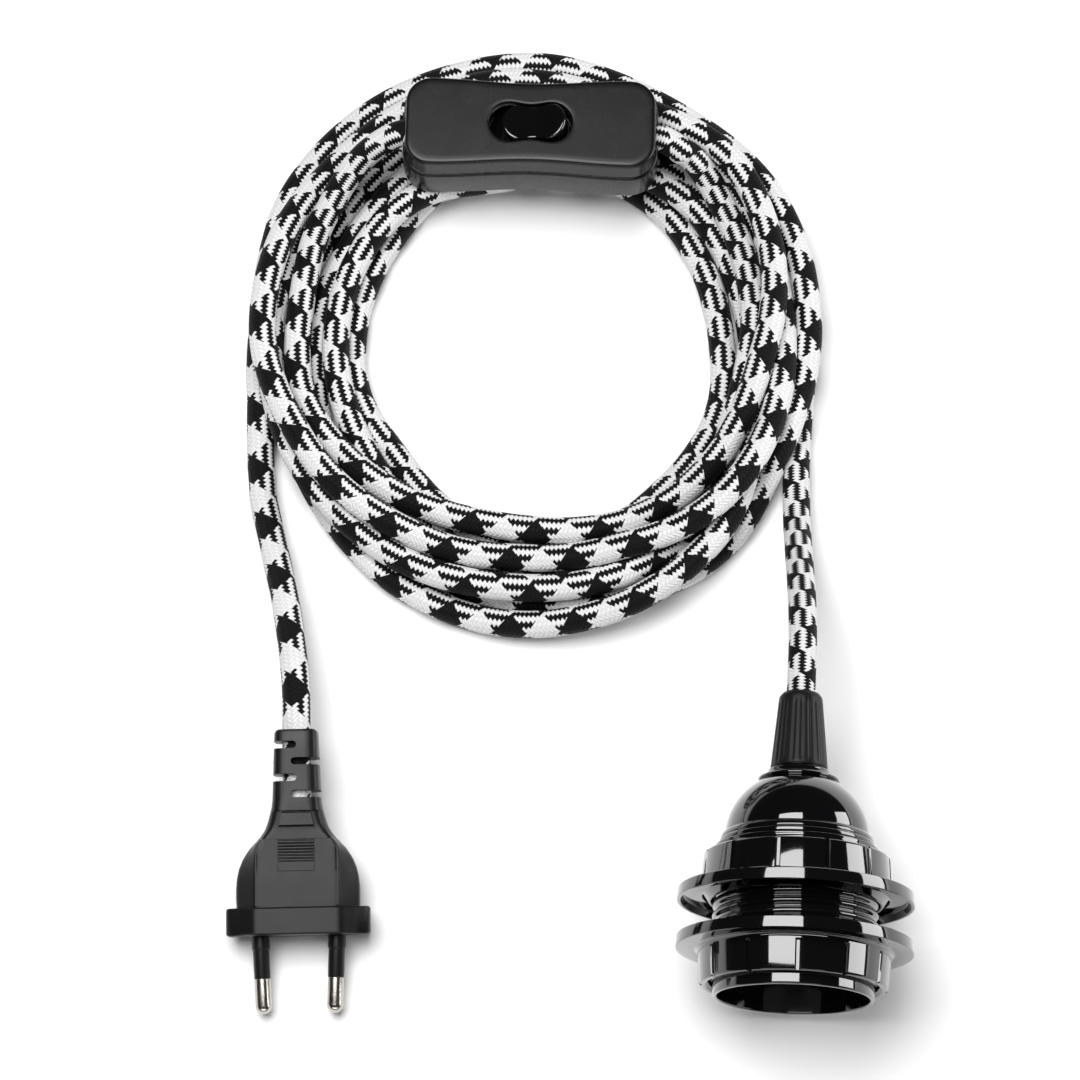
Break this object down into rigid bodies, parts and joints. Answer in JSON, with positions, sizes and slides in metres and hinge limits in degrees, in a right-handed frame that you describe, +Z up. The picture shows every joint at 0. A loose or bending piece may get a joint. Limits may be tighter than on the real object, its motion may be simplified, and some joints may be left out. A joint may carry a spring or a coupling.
{
  "type": "cable pendant light",
  "caption": "Cable pendant light: lamp holder with two screw-on shade rings, round textile cord laid in a coil, inline rocker switch and flat two-pin plug.",
  "frame": {"origin": "on the floor under the middle of the lamp holder's axis", "axes": "+Y along the lamp holder's axis from its mouth to its cord grip, +Z up, +X to the right seen from the mouth end above"},
  "size_m": [0.1748, 0.2532, 0.057],
  "materials": {
    "gloss_black": "high gloss",
    "matt_black": "matt",
    "satin_black": "satin",
    "rubber_black": "matt moulded",
    "brass": "stamped",
    "nickel": "nickel plated",
    "steel": "zinc plated",
    "carrier_white": "plain moulded",
    "textile": "black and white houndstooth braid",
    "brown_wire": "plain",
    "blue_wire": "plain"
  },
  "bodies": {
    "base": {"holder_skirt": "gloss_black", "holder_cap": "gloss_black", "cord_grip": "matt_black", "grip_collet": "matt_black", "contact_carrier": "carrier_white", "centre_contact": "brass", "side_contact": "brass", "terminal_block_live": "brass", "terminal_screw_live": "steel", "terminal_block_neutral": "brass", "terminal_screw_neutral": "steel", "holder_wire_live": "brown_wire", "holder_wire_neutral": "blue_wire", "switch_base": "satin_black", "switch_cover": "satin_black", "line_contact": "brass", "load_contact": "brass", "neutral_link": "brass", "line_screw": "steel", "load_screw": "steel", "neutral_screw_in": "steel", "neutral_screw_out": "steel", "cord_clamp_left": "steel", "cord_clamp_right": "steel", "clamp_screw_left_front": "steel", "clamp_screw_left_back": "steel", "clamp_screw_right_front": "steel", "clamp_screw_right_back": "steel", "case_screw_left": "steel", "case_screw_right": "steel", "switch_wire_live_in": "brown_wire", "switch_wire_live_out": "brown_wire", "switch_wire_neutral_in": "blue_wire", "switch_wire_neutral_out": "blue_wire", "plug_body": "rubber_black", "plug_pin_carrier": "rubber_black", "plug_pin_left": "nickel", "plug_pin_right": "nickel", "cord_coil": "textile", "cord_to_holder": "textile", "cord_to_plug": "textile", "cord_switch_left": "textile", "cord_switch_right": "textile"},
    "ring_upper": {"shade_ring_upper": "gloss_black"},
    "ring_lower": {"shade_ring_lower": "gloss_black"},
    "rocker": {"switch_rocker": "gloss_black", "switch_plunger": "nickel"},
    "bridge": {"moving_contact": "brass"}
  },
  "joints": [
    {"name": "ring_upper_travel", "type": "slide", "parent": "base", "child": "ring_upper", "axis": [0, 1, 0], "range_m": [-0.004, 0.0015]},
    {"name": "ring_lower_travel", "type": "slide", "parent": "base", "child": "ring_lower", "axis": [0, 1, 0], "range_m": [-0.0028, 0.004]},
    {"name": "rocker_tilt", "type": "hinge", "parent": "base", "child": "rocker", "pos_m": [-0.0734, 0.1866, 0.0275], "axis": [-0.0279, 0.9996, 0], "range_deg": [0, 18]},
    {"name": "bridge_tilt", "type": "hinge", "parent": "base", "child": "bridge", "pos_m": [-0.0734, 0.1866, 0.0215], "axis": [-0.0279, 0.9996, 0], "range_deg": [-6, 0]}
  ],
  "couplings": [
    {"joint": "bridge_tilt", "follows": "rocker_tilt", "ratio": -0.33333}
  ]
}
